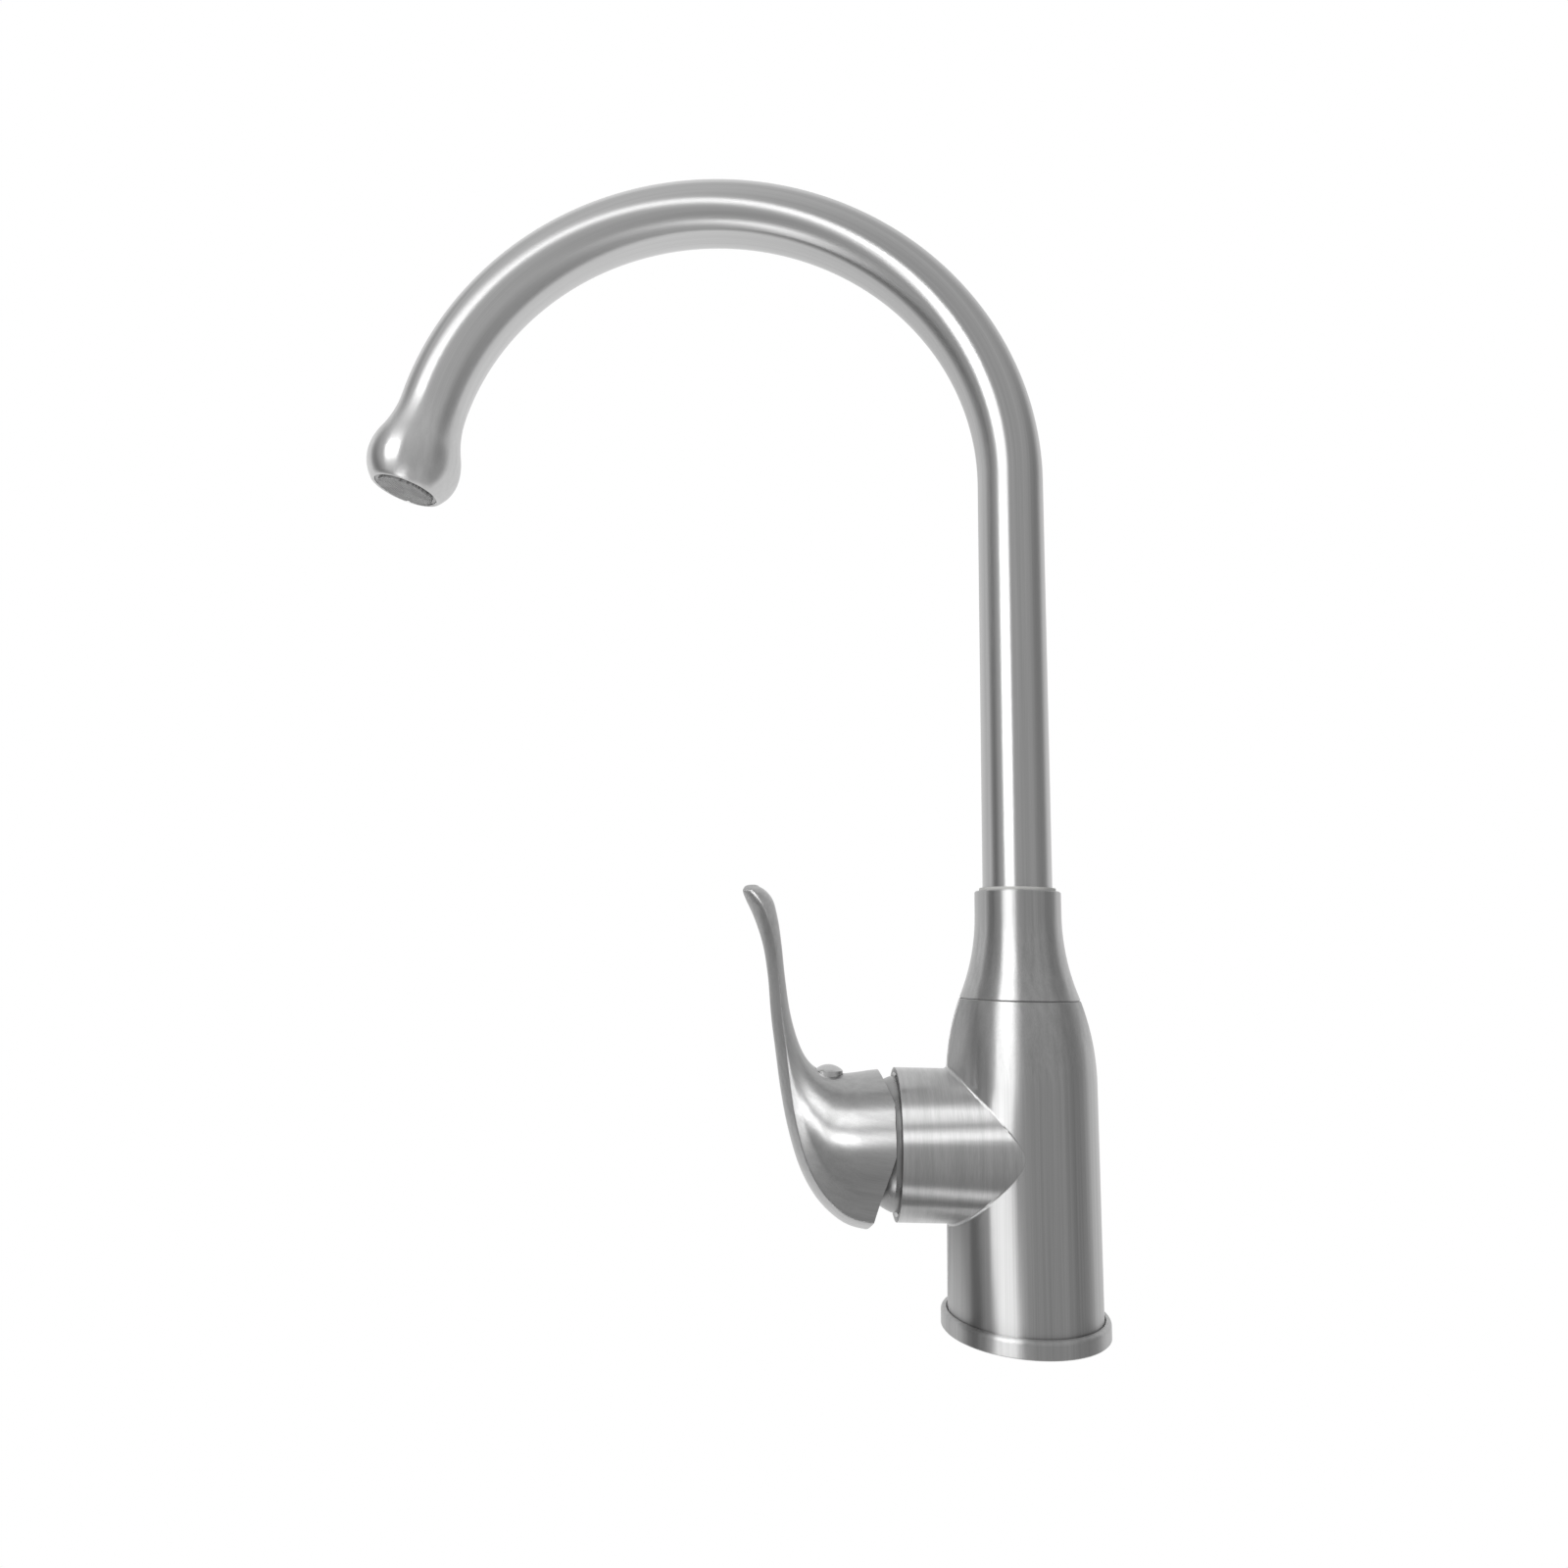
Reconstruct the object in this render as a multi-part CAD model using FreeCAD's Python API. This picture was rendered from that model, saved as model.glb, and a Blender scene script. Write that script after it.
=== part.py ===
import FreeCAD, Part
import math
import os
from FreeCAD import Vector

# Gooseneck bar faucet with one lever, in millimetres.
# Frame: origin at the centre of the base ring's underside, +Z up the tower's axis.
# The spout, the cartridge boss and the lever all point along -Y; X = 0 is the mirror plane.
# Pieces of the valve are drawn in the boss's own frame and then turned into place:
# there X stays, Y is up and Z is the distance out from the tower's axis along the boss.

# Clearances shared by every fit
running_gap = 0.06          # radial, shaft turning in its hole
thread_gap = 0.10           # radial, between mating threads, drawn as plain cylinders
seat_gap = 0.30             # between faces that pass each other without touching
edge_break = 0.4            # small chamfer on turned edges
cut_over = 1.0              # how far a cutting tool runs past the face it opens

# 35 mm ceramic cartridge: radii step down from its outside, heights add up along the boss
cartridge_r = 17.5
cartridge_depth = 31.3      # from the boss's end face down to the cartridge's seat
housing_wall = 1.8
base_rim_gap = 0.2
base_flange_h = 1.5
base_h = 4.0
base_neck_step = 2.0        # radial step from the cartridge's outside to the base's neck
peg_x = 11.0
peg_up = 6.0
peg_r = 1.8
peg_h = 2.5
valve_port_x = 6.5
valve_port_up = -4.0
outlet_up = 7.0
valve_port_r = 3.0
port_seal_w = 1.4
port_seal_h = 1.2
fixed_disc_gap = 0.7        # radial, fixed disc in the housing
fixed_disc_h = 3.2
moving_disc_h = 2.8
moving_disc_step = 1.0      # radial step from the driver to the moving disc
mixing_slot_depth = 1.4
mixing_slot_gap = 0.6       # slot beyond the ports it joins
driver_gap = 0.8            # radial, driver in the housing at the end of its slide
driver_h = 4.0
driver_rib_x = 8.5
driver_rib_w = 2.0
driver_rib_h = 1.0
driver_rib_length = 14.0
rotor_plate_h = 3.4
roof_h = 2.5
roof_step = 4.7             # radial step from the housing's bore in to the rotor's neck
housing_neck_h = 4.2
housing_neck_wall = 1.5
rotor_depth = 3.1           # rotor's top below the boss's end face
stem_slot_up = 7.8
stem_slot_down = 6.2

# Lever stem, its pivot pin and its toe
lift_angle = 20.0           # degrees from shut to full flow
pivot_depth = 6.3           # pivot's distance inside the boss's end face
toe_arm = 12.0              # pivot to the centre of the toe's ball
toe_r = 2.6
toe_gap = 0.1
shank_r = 2.1
stem_w = 6.0
stem_depth = 7.0
stem_square = 7.8
stem_square_out = 1.2       # where the square starts and ends, out from the boss's end face
stem_end_out = 25.7
pin_r = 1.5
pin_recess = 0.4

# Brass retaining nut and dome-shaped trim cap over it
nut_thread_step = 2.8       # radial, from the cartridge out to the nut's thread
nut_flange_h = 4.0
nut_hex_h = 4.2
nut_hex_wall = 2.4          # between the nut's bore and its flats
cap_step = 0.5              # radial, from the nut's thread in to the cap
cap_dome_rise = 1.5         # the ball face's radius beyond the cap's own
cap_wall = 1.0
cap_hole_gap = 0.5          # radial, cap's hole round the rotor's neck
cap_lip_h = 1.5

# Cartridge boss
boss_wall = 2.2             # outside the nut's threaded bore
boss_z = 52.6
boss_reach = 39.3           # from the tower's axis to the boss's end face
boss_mouth_bevel = 0.7
boss_blend = 1.2            # fillet where boss and tower meet

# Tower: a plain cylinder, a swelling shoulder, a seam and a waisted collar
tower_step = 0.4            # radial, from the boss out to the tower
shoulder_up = 19.4          # height above the boss's axis where the shoulder's arc begins
shoulder_arc_r = 75.0
shoulder_h = 25.0           # up to the joint line between body and collar
waist_h = 26.0              # from the joint line to the collar's straight top
collar_top_h = 7.8
collar_wall = 1.44          # at the collar's top, round the bush
seam_bevel = 0.25

# Base ring and its deck seal
ring_step = 2.0             # radial, from the tower out to the ring
ring_h = 5.1
ring_ledge_z = 3.6          # the tower's foot stands on this ledge inside the ring
ring_bore_r = 17.5
ring_round = 1.2
foot_groove = 0.45          # open groove between the ring and the tower's foot
seal_inset = 1.8            # from the ring's outside to the seal
seal_w = 4.2
seal_h = 1.6

# Underside: open foot with the hose ports and the stud hole in its roof
foot_wall = 3.6
foot_roof_drop = 11.0       # from the cartridge's bore down to the foot's roof
port_x = 8.0
port_y = 5.0
port_r = 4.6                # M10 x 1 hose port
port_depth = 9.0
stud_y = -11.0
stud_r = 3.4                # M8 stud hole
stud_depth = 8.5
waterway_r = 3.0

# Spout: straight riser, half-round bend and a swelling mouth
tube_r = 11.0
tube_wall = 1.0
bend_z = 271.4
bend_r = 101.9
mouth_tilt = 13.5           # degrees between the mouth's axis and the vertical
bell_swell = 4.3            # the widest ring's radius beyond the tube's
bell_wide_at = 9.6          # height of the widest ring above the mouth
bell_length = 32.0
bell_swell_r = 21.0         # radius of the arc next to the widest ring
mouth_bore_step = 0.6       # radial, from the tube's outside in to the mouth's bore
mouth_lip = 1.0
aerator_depth = 13.0

# Spout's foot: brazed fitting that turns in the tower's socket
fitting_plug_h = 8.0
flange_step = 1.14          # radial, from the bush out to the flange
flange_h = 3.0
nose_step = 2.0             # radial, from the tube in to the nose
nose_h = 18.0
nose_wall = 3.0
o_ring_cord_r = 0.8
o_ring_squeeze = 0.06
o_ring_room = 0.16          # groove beyond the cord on each side
o_ring_pitch = 7.0
socket_wall = 0.9           # collar's pocket out to the tower's thread
socket_spigot_h = 7.0
washer_h = 1.0
washer_gap = 0.05
riser_bush_wall = 1.0
bush_foot_h = 1.5
bush_foot_gap = 0.15
bush_lip_h = 1.0

# Aerator
aerator_recess = 1.6
aerator_wall = 1.2
aerator_rim_w = 0.8
aerator_rim_h = 0.6
aerator_gasket_w = 2.6
aerator_gasket_h = 1.6
grid_h = 2.0
grid_ring_w = 0.9
grid_ring_count = 3
grid_spoke_count = 6
screen_h = 0.5
screen_hole_r = 0.55
screen_rows = 3
screen_row_holes = 6        # more holes in each row than in the row inside it
diffuser_h = 4.0
diffuser_wall = 1.2
diffuser_hole_r = 0.8
diffuser_hole_ring = 0.7    # share of the diffuser's radius
diffuser_hole_count = 12

# Lever handle. Distances out start at the boss's end face.
hub_step = 0.4              # hub's radius beyond the boss's
lever_h = 55.2              # from the hub's top to the lever's tip
hub_gap = 2.0               # from the boss's end face to the hub's rim
hub_cavity_gap = 0.6        # between trim cap and hub
relief_out = 9.9            # hub's lower corner, cut back so that it clears the boss when lifted
relief_drop = 24.2
brow_out = 5.5              # hub's upper corner
brow_start_up = 14.5
brow_up = 22.3
socket_gap = 0.1
screw_out = 20.7            # grub screw and index button
screw_r = 2.5
screw_length = 9.0
screw_key_flats = 2.5
screw_key_depth = 2.5
button_r = 4.4
button_seat_down = 4.0      # below the hub's radius
button_rim_h = 2.4
button_dome_h = 1.8
button_peg_h = 4.0

# Handle sections from the hub's rim to the tip. Each has its back point and its front point on
# the mirror plane, the crease's place between them, the half width at the crease in hub radii
# and the width of the crease's flat. A point is its distance out and its level: a level up to 1
# is in hub radii above the boss's axis, and from 1 to 2 it climbs the lever.
handle_sections = [
    ((-3.3, 1.000), (-3.3, -1.060), 0.730, 0.887, 0.30),
    ((6.7, 0.957), (9.2, -1.062), 0.705, 0.880, 0.30),
    ((12.0, 0.920), (15.8, -0.990), 0.712, 0.865, 0.30),
    ((15.5, 0.900), (22.3, -0.785), 0.705, 0.805, 0.30),
    ((19.7, 0.893), (28.3, -0.425), 0.660, 0.652, 0.30),
    ((23.7, 0.939), (33.1, 0.148), 0.610, 0.509, 0.30),
    ((27.1, 1.020), (35.8, 0.678), 0.560, 0.422, 0.30),
    ((29.9, 1.103), (37.6, 1.072), 0.520, 0.361, 0.30),
    ((32.8, 1.261), (39.2, 1.261), 0.420, 0.317, 0.30),
    ((35.0, 1.487), (40.5, 1.487), 0.350, 0.291, 0.30),
    ((36.5, 1.697), (42.7, 1.688), 0.330, 0.296, 0.40),
    ((38.0, 1.844), (45.9, 1.841), 0.400, 0.322, 1.30),
    ((39.7, 1.935), (48.2, 1.924), 0.500, 0.313, 2.60),
    ((42.2, 1.983), (49.2, 1.976), 0.550, 0.250, 1.50),
    ((43.9, 2.000), (48.7, 1.996), 0.550, 0.160, 0.80),
]
front_points = 9            # points across a section that the skin runs through
back_points = 13

# Places that follow from the sizes above
housing_r_in = cartridge_r - housing_wall
fixed_disc_r = housing_r_in - fixed_disc_gap
closed_drop = toe_arm * math.radians(lift_angle) / 2
driver_r = housing_r_in - driver_gap - closed_drop
moving_disc_r = driver_r - moving_disc_step
rotor_plate_r = housing_r_in - running_gap
rotor_neck_r = housing_r_in - roof_step
port_seal_r = valve_port_r + port_seal_w
nut_thread_r = cartridge_r + nut_thread_step
nut_bore_r = rotor_neck_r + housing_neck_wall + thread_gap
nut_corner_r = (nut_bore_r + nut_hex_wall) * 2 / math.sqrt(3)
cap_r = nut_thread_r - cap_step
cap_dome_r = cap_r + cap_dome_rise
boss_r = nut_thread_r + thread_gap + boss_wall
tower_r = boss_r + tower_step
ring_r = tower_r + ring_step
seal_r = ring_r - seal_inset
hub_r = boss_r + hub_step

cartridge_seat = boss_reach - cartridge_depth
disc_face = cartridge_seat + base_h
slide_face = disc_face + fixed_disc_h
driver_face = slide_face + moving_disc_h
rotor_face = driver_face + driver_h + seat_gap
roof_face = rotor_face + rotor_plate_h + seat_gap
neck_face = roof_face + roof_h
nut_top = neck_face + nut_flange_h
rotor_top = boss_reach - rotor_depth
pivot_reach = boss_reach - pivot_depth
screw_reach = boss_reach + screw_out

bush_r = tube_r + running_gap + riser_bush_wall
neck_r = bush_r + thread_gap + collar_wall
flange_r = bush_r + flange_step
socket_thread_r = flange_r + seat_gap + socket_wall
nose_r = tube_r - nose_step
fitting_bore_r = nose_r - nose_wall
bell_r = tube_r + bell_swell
mouth_bore_r = tube_r - mouth_bore_step
mouth_turn = 180.0 - mouth_tilt

shoulder_z = boss_z + shoulder_up
seam_z = shoulder_z + shoulder_h
neck_z = seam_z + waist_h
collar_top_z = neck_z + collar_top_h
foot_roof_z = boss_z - cartridge_r - thread_gap - foot_roof_drop
top_spread = tower_r - neck_r
neck_arc_r = (top_spread**2 + (neck_z - shoulder_z)**2) / (2 * top_spread) - shoulder_arc_r
arc_share = shoulder_arc_r / (shoulder_arc_r + neck_arc_r)
waist_z = shoulder_z + arc_share * (neck_z - shoulder_z)
spigot_top_z = seam_z + socket_spigot_h
flange_z = spigot_top_z + washer_h + washer_gap
riser_foot_z = flange_z + flange_h
bush_foot_z = riser_foot_z + bush_foot_gap
bush_shoulder_z = bush_foot_z + bush_foot_h
nose_foot_z = flange_z - nose_h

button_seat_z = boss_z + hub_r - button_seat_down
button_edge_z = button_seat_z + button_rim_h
button_top_z = button_edge_z + button_dome_h


def arc(middle, end):
    """Mark an outline step as an arc through a middle point."""
    return ("arc", middle, end)


def outline_wire(points, plane):
    """Closed wire through (a, b) points and arc steps; plane turns a pair into a vector."""
    edges = []
    here = points[0]
    for step in points[1:] + [points[0]]:
        if step[0] == "arc":
            ends = [plane(*here), plane(*step[1]), plane(*step[2])]
            edges.append(Part.Arc(*ends).toShape())
            here = step[2]
        elif step != here:
            edges.append(Part.makeLine(plane(*here), plane(*step)))
            here = step
    return Part.Wire(edges)


def turned(points):
    """Solid of revolution about Z from (radius, height) points."""
    face = Part.Face(outline_wire(points, lambda radius, height: Vector(radius, 0, height)))
    return face.revolve(Vector(0, 0, 0), Vector(0, 0, 1), 360)


def drum(radius, low, high, x=0.0, y=0.0):
    return Part.makeCylinder(radius, high - low, Vector(x, y, low))


def ring(outer, inner, low, high, x=0.0, y=0.0):
    return drum(outer, low, high, x, y).cut(drum(inner, low - cut_over, high + cut_over, x, y))


def block(x0, x1, y0, y1, z0, z1):
    return Part.makeBox(x1 - x0, y1 - y0, z1 - z0, Vector(x0, y0, z0))


def hexagon(flats, low, high):
    """Six-sided prism about Z, its flats facing +Y and -Y."""
    corner = flats / math.sqrt(3)
    points = [Vector(corner * math.cos(math.radians(60 * side)),
                     corner * math.sin(math.radians(60 * side)), low) for side in range(7)]
    return Part.Face(Part.makePolygon(points)).extrude(Vector(0, 0, high - low))


def around(shape, count):
    """Copies of a shape spread evenly about Z."""
    copies = []
    for number in range(count):
        copy = shape.copy()
        copy.rotate(Vector(0, 0, 0), Vector(0, 0, 1), 360.0 * number / count)
        copies.append(copy)
    return copies


def in_boss(shape):
    """Turn a piece from the boss's frame into its place in the faucet."""
    placed = shape.copy()
    placed.rotate(Vector(0, 0, 0), Vector(1, 0, 0), 90)
    placed.translate(Vector(0, 0, boss_z))
    return placed


def at_mouth(shape):
    """Stand a piece drawn about Z, with Z running up the spout from the mouth, in the mouth."""
    turn = math.radians(mouth_turn)
    down = Vector(0, -math.sin(turn), math.cos(turn))
    bend_end = Vector(0, bend_r * (math.cos(turn) - 1), bend_z + bend_r * math.sin(turn))
    placed = shape.copy()
    placed.rotate(Vector(0, 0, 0), Vector(1, 0, 0), -mouth_tilt)
    placed.translate(bend_end + down * bell_length)
    return placed


# Tower's outline

def tower_radius(z):
    """Outer radius of shoulder and collar at a height."""
    if z <= waist_z:
        return tower_r - shoulder_arc_r + math.sqrt(shoulder_arc_r**2 - (z - shoulder_z)**2)
    return neck_r + neck_arc_r - math.sqrt(neck_arc_r**2 - (neck_z - z)**2)


def tower_arcs(low, high):
    """Outline steps up the tower between two heights, split where the curve turns over."""
    stops = [low] + [z for z in (waist_z,) if low < z < high] + [high]
    steps = []
    for start, end in zip(stops, stops[1:]):
        middle = (start + end) / 2
        steps.append(arc((tower_radius(middle), middle), (tower_radius(end), end)))
    return steps


# Base

def base_ring():
    shape = turned([
        (ring_bore_r, 0), (ring_r - edge_break, 0), (ring_r, edge_break),
        (ring_r, ring_h - ring_round),
        arc((ring_r - ring_round * (1 - math.sqrt(0.5)), ring_h - ring_round * (1 - math.sqrt(0.5))),
            (ring_r - ring_round, ring_h)),
        (tower_r + foot_groove, ring_h), (tower_r + foot_groove, ring_ledge_z),
        (ring_bore_r, ring_ledge_z)])
    return shape.cut(ring(seal_r, seal_r - seal_w, -cut_over, seal_h))


def base_seal():
    return ring(seal_r, seal_r - seal_w, 0, seal_h)


# Body casting: tower and boss in one piece

def body_blank():
    """Tower with the boss standing out of it, and the fillet between the two."""
    tower = turned([
        (0, ring_ledge_z), (tower_r - edge_break, ring_ledge_z),
        (tower_r, ring_ledge_z + edge_break), (tower_r, shoulder_z),
        *tower_arcs(shoulder_z, seam_z - seam_bevel),
        (tower_radius(seam_z) - 2 * seam_bevel, seam_z),
        (socket_thread_r, seam_z), (socket_thread_r, spigot_top_z), (0, spigot_top_z)])
    boss = in_boss(drum(boss_r, 0, boss_reach))
    blank = tower.fuse(boss)
    joint = [edge for edge in blank.Edges if edge.Curve.TypeId == "Part::GeomBSplineCurve"]
    return blank.makeFillet(boss_blend, joint)


def valve_ports(low, high, radius):
    """Hot, cold and outlet ways through the valve's face, in the boss's frame."""
    ways = [drum(radius, low, high, side * valve_port_x, valve_port_up) for side in (-1, 1)]
    ways.append(drum(radius, low, high, 0, outlet_up))
    return ways


def body_hollows():
    """Everything bored out of the body casting."""
    foot = drum(tower_r - foot_wall, 0, foot_roof_z)
    hollows = [foot]
    for side in (-1, 1):
        hollows.append(drum(port_r, foot_roof_z - cut_over, foot_roof_z + port_depth,
                            side * port_x, port_y))
        hollows.append(drum(waterway_r, foot_roof_z, boss_z + valve_port_up + waterway_r,
                            side * port_x, port_y))
        cross = drum(waterway_r, -port_y, cartridge_seat + cut_over, side * valve_port_x, valve_port_up)
        hollows.append(in_boss(cross))
    hollows.append(drum(stud_r, foot_roof_z - cut_over, foot_roof_z + stud_depth, 0, stud_y))
    hollows.append(in_boss(drum(waterway_r, 0, cartridge_seat + cut_over, 0, outlet_up)))
    hollows.append(drum(fitting_bore_r, boss_z + outlet_up - waterway_r - seat_gap, nose_foot_z))
    hollows.append(drum(nose_r + running_gap, nose_foot_z - seat_gap, spigot_top_z + cut_over))
    hollows.append(in_boss(drum(cartridge_r + thread_gap, cartridge_seat, boss_reach)))
    threaded_r = nut_thread_r + thread_gap
    hollows.append(in_boss(drum(threaded_r, neck_face - seat_gap, boss_reach)))
    rim_r = threaded_r + boss_mouth_bevel
    mouth = turned([(0, boss_reach - boss_mouth_bevel), (threaded_r, boss_reach - boss_mouth_bevel),
                    (rim_r, boss_reach), (rim_r, boss_reach + cut_over), (0, boss_reach + cut_over)])
    hollows.append(in_boss(mouth))
    for side in (-1, 1):
        peg_hole = drum(peg_r + thread_gap, cartridge_seat - peg_h - seat_gap,
                        cartridge_seat + cut_over, side * peg_x, peg_up)
        hollows.append(in_boss(peg_hole))
    return hollows


def faucet_body():
    return body_blank().cut(body_hollows())


# Swivel joint between tower and spout

def spout_collar():
    """Waisted nut that screws on the tower and holds the spout down."""
    foot_bevel = (tower_radius(seam_z) - 2 * seam_bevel, seam_z)
    bore = [(bush_r + thread_gap, collar_top_z), (bush_r + thread_gap, bush_shoulder_z),
            (flange_r + seat_gap, bush_shoulder_z), (flange_r + seat_gap, spigot_top_z),
            (socket_thread_r + thread_gap, spigot_top_z), (socket_thread_r + thread_gap, seam_z)]
    rim = [(neck_r, neck_z), (neck_r, collar_top_z - edge_break), (neck_r - edge_break, collar_top_z)]
    outside = [foot_bevel, (tower_radius(seam_z + seam_bevel), seam_z + seam_bevel)]
    return turned(outside + tower_arcs(seam_z + seam_bevel, neck_z) + rim[1:] + bore)


def riser_bush():
    """Flanged nylon bush that the riser turns in; its lip shows above the collar."""
    inner = tube_r + running_gap
    foot = ring(flange_r, inner, bush_foot_z, bush_shoulder_z)
    sleeve = ring(bush_r, inner, bush_foot_z, collar_top_z + bush_lip_h)
    return foot.fuse(sleeve).removeSplitter()


def thrust_washer():
    return ring(flange_r, nose_r + seat_gap, spigot_top_z, spigot_top_z + washer_h)


def o_ring_heights():
    middle = (nose_foot_z + spigot_top_z) / 2
    return [middle - o_ring_pitch / 2, middle + o_ring_pitch / 2]


def spout_fitting():
    """Brass foot of the spout: plug brazed in the riser, flange and grooved nose."""
    groove_r = nose_r - 2 * o_ring_cord_r - o_ring_squeeze
    plug_top = riser_foot_z + fitting_plug_h
    plug = drum(tube_r - tube_wall, flange_z, plug_top)
    shape = plug.fuse([drum(flange_r, flange_z, riser_foot_z), drum(nose_r, nose_foot_z, flange_z)])
    shape = shape.cut(drum(fitting_bore_r, nose_foot_z - cut_over, plug_top + cut_over))
    half = o_ring_cord_r + o_ring_room
    for z in o_ring_heights():
        shape = shape.cut(ring(nose_r + cut_over, groove_r, z - half, z + half))
    return shape.removeSplitter()


def spout_o_rings():
    centre_r = nose_r - o_ring_cord_r - o_ring_squeeze / 2
    rings = [Part.makeTorus(centre_r, o_ring_cord_r, Vector(0, 0, z)) for z in o_ring_heights()]
    return Part.makeCompound(rings)


# Spout

def bell():
    """Swelling end of the spout about Z, with its mouth at Z = 0 and the tube above it."""
    rise = bell_length - bell_wide_at
    both_r = (rise**2 + bell_swell**2) / (2 * bell_swell)
    waist_r = both_r - bell_swell_r
    turn = math.asin(rise / both_r)
    crown = (bell_r - bell_swell_r * (1 - math.cos(turn / 2)),
             bell_wide_at + bell_swell_r * math.sin(turn / 2))
    over = (bell_r - bell_swell_r * (1 - math.cos(turn)), bell_wide_at + bell_swell_r * math.sin(turn))
    waist = (tube_r + waist_r * (1 - math.cos(turn / 2)), bell_length - waist_r * math.sin(turn / 2))
    lip_r = mouth_bore_r + mouth_lip
    tuck = bell_r - lip_r
    tuck_r = (bell_wide_at**2 + tuck**2) / (2 * tuck)
    under = math.asin(bell_wide_at / tuck_r) / 2
    lower = (bell_r - tuck_r * (1 - math.cos(under)), bell_wide_at - tuck_r * math.sin(under))
    bore_r = tube_r - tube_wall
    return turned([
        (mouth_bore_r, 0), (lip_r, 0),
        arc(lower, (bell_r, bell_wide_at)), arc(crown, over), arc(waist, (tube_r, bell_length)),
        (bore_r, bell_length), (bore_r, aerator_depth), (mouth_bore_r, aerator_depth)])


def spout_tube():
    """Riser, bend and bell in one length of tube."""
    riser = ring(tube_r, tube_r - tube_wall, riser_foot_z, bend_z)
    outer = Part.makeCircle(tube_r, Vector(0, 0, bend_z))
    inner = Part.makeCircle(tube_r - tube_wall, Vector(0, 0, bend_z))
    section = Part.Face([Part.Wire([outer]), Part.Wire([inner])])
    bend = section.revolve(Vector(0, -bend_r, bend_z), Vector(1, 0, 0), mouth_turn)
    return riser.fuse([bend, at_mouth(bell())]).removeSplitter()


# Aerator, drawn about Z with the mouth's plane at Z = 0

def aerator_levels():
    """Heights of the aerator's parts above the mouth, from the grid up to the gasket."""
    grid_top = aerator_recess + grid_h
    screen_top = grid_top + screen_h
    diffuser_top = screen_top + diffuser_h
    return grid_top, screen_top, diffuser_top


def aerator_inner_r():
    return mouth_bore_r - thread_gap - aerator_wall


def aerator_shell():
    diffuser_top = aerator_levels()[2]
    inner = aerator_inner_r()
    shell = ring(inner + aerator_wall, inner, aerator_recess, diffuser_top)
    rim = ring(inner, inner - aerator_rim_w, aerator_recess, aerator_recess + aerator_rim_h)
    return shell.fuse(rim).removeSplitter()


def aerator_grid():
    """Outlet grid: concentric rings joined by spokes."""
    grid_top = aerator_levels()[0]
    outer = aerator_inner_r()
    low = aerator_recess + aerator_rim_h
    pitch = (outer - grid_ring_w) / grid_ring_count
    shape = ring(outer, outer - grid_ring_w, low, grid_top)
    parts = [drum(grid_ring_w, low, grid_top)]
    for number in range(1, grid_ring_count):
        radius = outer - number * pitch
        parts.append(ring(radius, radius - grid_ring_w, low, grid_top))
    half = grid_ring_w / 2
    spoke = block(0, outer - half, -half, half, low, grid_top)
    return shape.fuse(parts + around(spoke, grid_spoke_count)).removeSplitter()


def aerator_screen():
    """Screen between grid and diffuser, with rings of small holes."""
    grid_top, screen_top, _ = aerator_levels()
    pitch = (aerator_inner_r() - 2 * screen_hole_r) / screen_rows
    holes = [drum(screen_hole_r, grid_top - cut_over, screen_top + cut_over)]
    for row in range(1, screen_rows + 1):
        hole = drum(screen_hole_r, grid_top - cut_over, screen_top + cut_over, row * pitch)
        holes += around(hole, screen_row_holes * row)
    return drum(aerator_inner_r(), grid_top, screen_top).cut(holes)


def aerator_diffuser():
    """Plate that splits the flow into jets over the screen."""
    _, screen_top, diffuser_top = aerator_levels()
    outer = aerator_inner_r()
    inside = drum(outer - diffuser_wall, screen_top - cut_over, diffuser_top - diffuser_wall)
    hole = drum(diffuser_hole_r, screen_top, diffuser_top + cut_over, diffuser_hole_ring * outer)
    return drum(outer, screen_top, diffuser_top).cut([inside] + around(hole, diffuser_hole_count))


def aerator_gasket():
    diffuser_top = aerator_levels()[2]
    outer = mouth_bore_r - thread_gap
    return ring(outer, outer - aerator_gasket_w, diffuser_top, diffuser_top + aerator_gasket_h)


# Cartridge, in the boss's frame

def cartridge_base():
    flange = drum(cartridge_r - base_rim_gap, cartridge_seat, cartridge_seat + base_flange_h)
    shape = flange.fuse(drum(cartridge_r - base_neck_step, cartridge_seat, disc_face))
    pegs = [drum(peg_r, cartridge_seat - peg_h, cartridge_seat + base_flange_h, side * peg_x, peg_up)
            for side in (-1, 1)]
    ways = valve_ports(cartridge_seat - cut_over, disc_face + cut_over, valve_port_r)
    shape = shape.fuse(pegs).cut(ways)
    pockets = valve_ports(cartridge_seat - cut_over, cartridge_seat + port_seal_h, port_seal_r)
    pockets += valve_ports(disc_face - port_seal_h, disc_face + cut_over, port_seal_r)
    return shape.cut(pockets).removeSplitter()


def seal_set(low):
    """Three rubber rings round the hot, cold and outlet ways."""
    outer = valve_ports(low, low + port_seal_h, port_seal_r)
    inner = valve_ports(low - cut_over, low + port_seal_h + cut_over, valve_port_r)
    return Part.makeCompound([rim.cut(way) for rim, way in zip(outer, inner)])


def fixed_disc():
    shape = drum(fixed_disc_r, disc_face, slide_face)
    return shape.cut(valve_ports(disc_face - cut_over, slide_face + cut_over, valve_port_r))


def moving_disc():
    """Ceramic disc with the mixing slot in its sliding face, drawn in the shut position."""
    shape = drum(moving_disc_r, slide_face, driver_face, 0, -closed_drop)
    slot_half = valve_port_r + mixing_slot_gap
    slot = block(-slot_half, slot_half, -closed_drop - mixing_slot_gap, outlet_up + mixing_slot_gap,
                 slide_face - cut_over, slide_face + mixing_slot_depth)
    return shape.cut(slot)


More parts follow.
